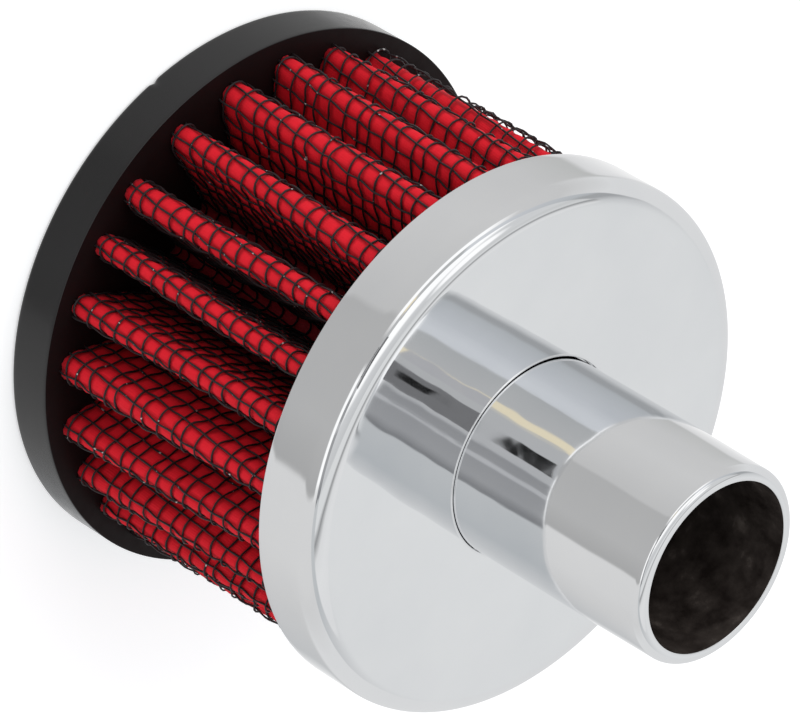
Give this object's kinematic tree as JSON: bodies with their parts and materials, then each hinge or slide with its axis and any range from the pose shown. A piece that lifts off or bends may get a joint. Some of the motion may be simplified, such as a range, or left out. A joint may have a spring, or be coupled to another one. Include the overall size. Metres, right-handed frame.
{
  "type": "universal push-in breather air filter",
  "caption": "Small round engine breather filter: a pleated gauze pack under wire mesh, a moulded end cap, and a chromed cup with a plain neck tube that pushes into a grommet.",
  "frame": {"origin": "centre of the end cap's underside, on the surface that the filter stands on", "axes": "+Z along the filter's axis, from the end cap towards the open end of the neck"},
  "size_m": [0.078, 0.078, 0.0918],
  "materials": {
    "end_cap": "smooth black moulding, satin on its rim",
    "wire_mesh": "black coated woven wire",
    "red_gauze": "oiled red cotton gauze",
    "potting": "black adhesive",
    "chrome": "bright chrome plate"
  },
  "bodies": {
    "root": {"end_cap": "end_cap", "outer_mesh": "wire_mesh", "cotton_gauze": "red_gauze", "inner_mesh": "wire_mesh", "potting_ring": "potting", "chrome_cup": "chrome", "neck_tube": "chrome"}
  },
  "joints": []
}
